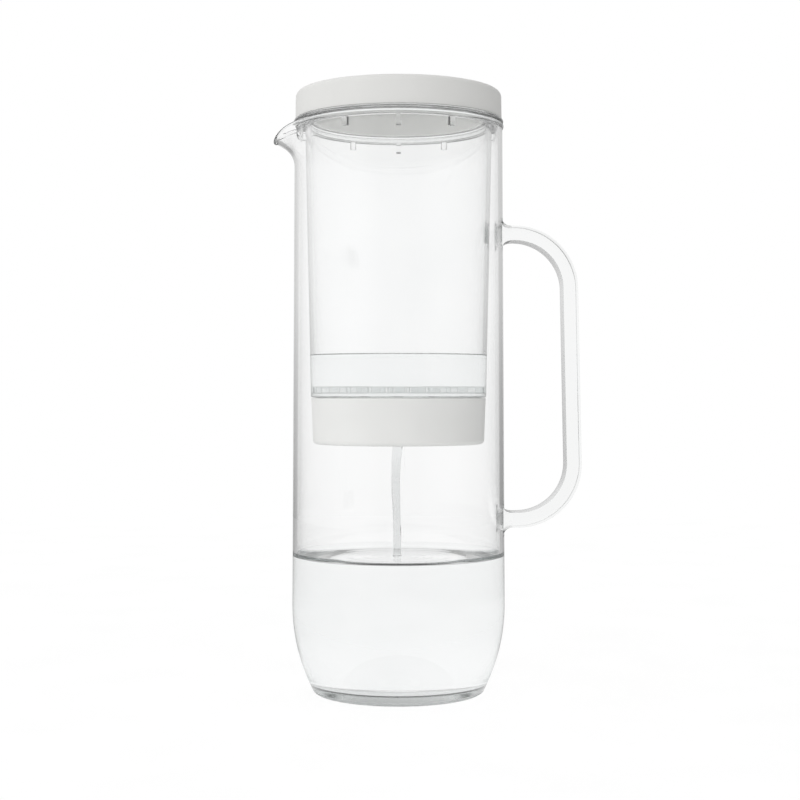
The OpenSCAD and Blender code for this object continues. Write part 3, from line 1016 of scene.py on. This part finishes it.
def water_in_jug():
    foot_c = (FOOT_R - FOOT_CURVE_R, FOOT_H)
    inner_r = FOOT_CURVE_R - GLASS_WALL
    corner_c, corner_a = meeting(foot_c, inner_r, GLASS_BASE, FLOOR_CORNER_R)
    r_wall = wall_r(JUG_LEVEL) - GLASS_WALL + WATER_BITE
    side_h = JUG_LEVEL + JUG_MENISCUS - FOOT_H
    rows = [FOOT_H + side_h * k / WATER_SIDE_ROWS for k in range(1, WATER_SIDE_ROWS)]
    side = [(wall_r(z) - GLASS_WALL + WATER_BITE, z) for z in rows]
    piece = lathe("water_in_jug", (
        [(corner_c[0] * k / BASE_ROWS, GLASS_BASE - WATER_BITE) for k in range(BASE_ROWS)]
        + arc(corner_c, FLOOR_CORNER_R + WATER_BITE, -90, corner_a)
        + arc(foot_c, inner_r + WATER_BITE, corner_a, 0, CURVE_STEPS)[1:]
        + side
        + water_top(r_wall, JUG_LEVEL, JUG_MENISCUS, True)
    ))
    finish_water(piece, "jug", JUG_LEVEL)


def water_in_tumbler():
    r_wall = cup_r(CUP_LEVEL) - CUP_WALL + WATER_BITE
    r_floor = cup_r(FLOOR_TOP) - CUP_WALL + WATER_BITE
    low = FLOOR_TOP - WATER_BITE
    floor_low = FLOOR_TOP - FLOOR_T + WATER_BITE
    piece = lathe("water_in_tumbler", (
        [(r_floor * k / CUP_BASE_ROWS, low) for k in range(CUP_BASE_ROWS)]
        + arc((r_floor - SMALL_EDGE, low + SMALL_EDGE), SMALL_EDGE, -90, 0)
        + water_top(r_wall, CUP_LEVEL, CUP_MENISCUS, False)
    ))
    field_r = SPIGOT_R - SPIGOT_WALL
    below_r = field_r + WATER_BITE
    below = lathe("below", [(0, SPIGOT_Z), (below_r, SPIGOT_Z), (below_r, floor_low), (0, floor_low)])
    in_holes = floor_pins(field_r, FLOOR_HOLE_R + WATER_BITE, FLOOR_T + 4 * WATER_BITE)
    combine(piece, [in_holes, below], "UNION")
    finish_water(piece, "tumbler", CUP_LEVEL)


def water_stream():
    """A thin stream from the outlet to the water below, a little bent, fluted and uneven.

    Factors of t are turns in radians, or rates at which something fades, over the stream's length.
    """
    top = FILTER_Z + FILTER_FLOOR
    low = JUG_LEVEL + RIPPLE_H
    rows, sides = STREAM_ROWS, STREAM_SIDES
    vertices = []
    for k in range(rows + 1):
        t = k / rows
        z = top + (low - top) * t
        drift = STREAM_DRIFT * (1 - math.exp(-9 * t)) - STREAM_SWAY * math.sin(5.5 * t)
        radius = STREAM_R - STREAM_THIN * t + STREAM_SWELL * math.sin(17 * t)
        radius += STREAM_FOOT * math.exp((t - 1) * 60)
        for j in range(sides):
            a = 2 * math.pi * j / sides
            flute = 1 + STREAM_OVAL * math.cos(2 * a + 5 * t) + STREAM_FLUTE * math.cos(3 * a - 7 * t)
            vertices.append((drift + radius * flute * math.cos(a), radius * flute * math.sin(a), z))
    faces = [list(range(sides)), list(range(rows * sides, (rows + 1) * sides))[::-1]]
    for k in range(rows):
        for j in range(sides):
            after = (j + 1) % sides
            faces.append([k * sides + j, (k + 1) * sides + j, (k + 1) * sides + after, k * sides + after])
    piece = new_object("water_stream", vertices, faces)
    piece.data.shade_smooth()
    piece.data.set_sharp_from_angle(angle=SHARP)
    piece.data.materials.append(STREAM)
    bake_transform(piece)


# Solids of the filter disc, which keep their shapes

def dress_solids():
    finishes = {
        "cartridge_body": WHITE_PLASTIC,
        "cartridge_cover": WHITE_PLASTIC,
        "inlet_pad": FELT,
        "outlet_pad": FELT,
        "carbon_bed": CARBON,
        "resin_bed": RESIN,
        "cartridge_seal": SILICONE,
    }
    for name, material in finishes.items():
        nodes[name].data.materials.clear()
        nodes[name].data.materials.append(material)


# Stage, light and camera

def by_ray(tree, reflected, lit, seen):
    """One level for mirrored rays, one for rays that light a matt surface, and one for all others.

    The others are those that the camera sends straight or through clear pieces.
    """
    path = add(tree, "ShaderNodeLightPath").outputs
    matt = calc(tree, "GREATER_THAN", path["Diffuse Depth"], 0.5)
    mirrored = calc(tree, "GREATER_THAN", path["Glossy Depth"], 0.5)
    bounced = calc(tree, "MAXIMUM", matt, mirrored)
    indirect = add(tree, "ShaderNodeMix", {"Factor": matt, "A": reflected, "B": lit}).outputs["Result"]
    return add(tree, "ShaderNodeMix", {"Factor": bounced, "A": seen, "B": indirect}).outputs["Result"]


def smooth_step(tree, value, low, high):
    spread = {"Value": value, "From Min": low, "From Max": high}
    return add(tree, "ShaderNodeMapRange", spread, interpolation_type="SMOOTHSTEP").outputs["Result"]


def floor():
    """Pale floor. Mirrored rays meet it dimmer, so that clear pieces get their grey edges."""
    outline = [(0, -STAGE_T), (STAGE_R, -STAGE_T), (STAGE_R, -STAGE_GAP), (0, -STAGE_GAP)]
    piece = lathe("floor", outline, STAGE_SEGMENTS)
    material, tree, place = new_material("floor")
    speck = tint(tree, noise(tree, place, 20.0), (0.1, 0.1, 0.1), (0.12, 0.12, 0.12))
    matt = add(tree, "ShaderNodeBsdfDiffuse", {"Color": speck}).outputs["BSDF"]
    away = add(tree, "ShaderNodeVectorMath", {0: place}, operation="LENGTH").outputs["Value"]
    x, y, _ = add(tree, "ShaderNodeSeparateXYZ", {"Vector": place}).outputs
    front = calc(tree, "MAXIMUM", calc(tree, "MULTIPLY", y, -1.0), 0.0)
    sideways = calc(tree, "DIVIDE", calc(tree, "ABSOLUTE", x), away)
    straight = smooth_step(tree, sideways, *STRAIGHT)
    behind = calc(tree, "MULTIPLY", smooth_step(tree, y, *BEHIND_JUG), straight)
    level = calc(tree, "MULTIPLY_ADD", front, FLOOR_FRONT, FLOOR_DIM)
    level = calc(tree, "MULTIPLY_ADD", smooth_step(tree, sideways, *ASIDE), FLOOR_ASIDE, level)
    level = calc(tree, "MULTIPLY_ADD", smooth_step(tree, away, *NEAR_JUG), FLOOR_NEAR, level)
    level = calc(tree, "MULTIPLY_ADD", behind, FLOOR_BEHIND, level)
    # Painted shadow: mirrored rays meet no glow on the floor under the jug.
    mirrored = calc(tree, "MULTIPLY", smooth_step(tree, away, *SHADOW_UNDER_JUG), level)
    strength = by_ray(tree, mirrored, FLOOR_LIT, FLOOR_SEEN)
    glow = add(tree, "ShaderNodeEmission", {"Strength": strength}).outputs["Emission"]
    both = add(tree, "ShaderNodeAddShader", {0: matt, 1: glow}).outputs["Shader"]
    add(tree, "ShaderNodeOutputMaterial", {"Surface": both})
    piece.data.materials.append(material)


def mirrored_level(tree, x, y, z):
    """What mirrored rays meet: dim surroundings, and a white backdrop for rays out of clear pieces."""
    height = add(tree, "ShaderNodeValToRGB", {"Fac": calc(tree, "MULTIPLY_ADD", z, 0.5, 0.5)})
    stops = height.color_ramp.elements
    while len(stops) < len(SURROUNDINGS):
        stops.new(1.0)
    for stop, (at, level) in zip(stops, SURROUNDINGS):
        stop.position = 0.5 + at / 2
        stop.color = (level, level, level, 1)
    front = calc(tree, "MAXIMUM", calc(tree, "MULTIPLY", y, -1.0), 0.0)
    side = calc(tree, "MAXIMUM", calc(tree, "SUBTRACT", calc(tree, "ABSOLUTE", x), SIDES_FROM), 0.0)
    over = calc(tree, "MULTIPLY", calc(tree, "MAXIMUM", z, 0.0), calc(tree, "MAXIMUM", y, 0.0))
    dim = calc(tree, "MULTIPLY_ADD", x, TO_RIGHT, height.outputs["Color"])
    dim = calc(tree, "MULTIPLY_ADD", side, TO_SIDES, dim)
    dim = calc(tree, "MULTIPLY_ADD", front, TO_FRONT, dim)
    dim = calc(tree, "MULTIPLY_ADD", over, OVER_BACK, dim)
    path = add(tree, "ShaderNodeLightPath").outputs
    passed = path["Transmission Depth"]
    came_through = calc(tree, "GREATER_THAN", passed, 0.5)
    behind = calc(tree, "MULTIPLY", smooth_step(tree, y, *BACKDROP), came_through)
    down = calc(tree, "LESS_THAN", z, 0.0)
    deep = calc(tree, "GREATER_THAN", calc(tree, "ADD", passed, down), DEEP_PASSES)
    lost = calc(tree, "GREATER_THAN", path["Ray Depth"], LOST_BOUNCES)
    white = calc(tree, "MAXIMUM", calc(tree, "MAXIMUM", behind, deep), lost)
    return add(tree, "ShaderNodeMix", {"Factor": white, "A": dim, "B": 1.0}).outputs["Result"]


def studio():
    """White for the camera, lighter from the left and the front for matt surfaces, dim for mirrored rays."""
    world = bpy.data.worlds.new("studio")
    bpy.context.scene.world = world
    world.use_nodes = True
    tree = world.node_tree
    tree.nodes.clear()
    place = add(tree, "ShaderNodeTexCoord").outputs["Generated"]
    x, y, z = add(tree, "ShaderNodeSeparateXYZ", {"Vector": place}).outputs
    lit = calc(tree, "MULTIPLY_ADD", x, LIT_TO_RIGHT, LIT_LEVEL)
    lit = calc(tree, "MULTIPLY_ADD", y, LIT_TO_BACK, lit)
    lit = calc(tree, "MULTIPLY_ADD", calc(tree, "MAXIMUM", z, 0.0), LIT_ABOVE, lit)
    level = by_ray(tree, mirrored_level(tree, x, y, z), lit, 1.0)
    background = add(tree, "ShaderNodeBackground", {"Color": (1, 1, 1, 1), "Strength": level})
    add(tree, "ShaderNodeOutputWorld", {"Surface": background.outputs["Background"]})


def camera():
    data = bpy.data.cameras.new("camera")
    data.lens = LENS
    data.sensor_width = SENSOR
    data.shift_y = -HORIZON_ABOVE_CENTRE / PIXELS
    data.clip_start = NEAREST
    view = bpy.data.objects.new("camera", data)
    view.location = CAMERA_AT
    view.rotation_euler = (math.pi / 2, 0, 0)
    bpy.context.scene.collection.objects.link(view)
    bpy.context.scene.camera = view


def render_settings():
    """Light paths long enough to leave the nested clear pieces."""
    scene = bpy.context.scene
    scene.view_settings.view_transform = "Standard"
    scene.cycles.max_bounces = 64
    scene.cycles.transmission_bounces = 48
    scene.cycles.glossy_bounces = 48
    scene.cycles.transparent_max_bounces = 64
    scene.cycles.diffuse_bounces = 6
    scene.cycles.blur_glossy = 0


jug()
tumbler_cup()
tumbler_collar()
tumbler_gasket()
lid_top()
lid_ring()
lid_gasket()
filter_shell()
filter_gasket()
water_in_jug()
water_in_tumbler()
water_stream()
dress_solids()
floor()
studio()
camera()
render_settings()
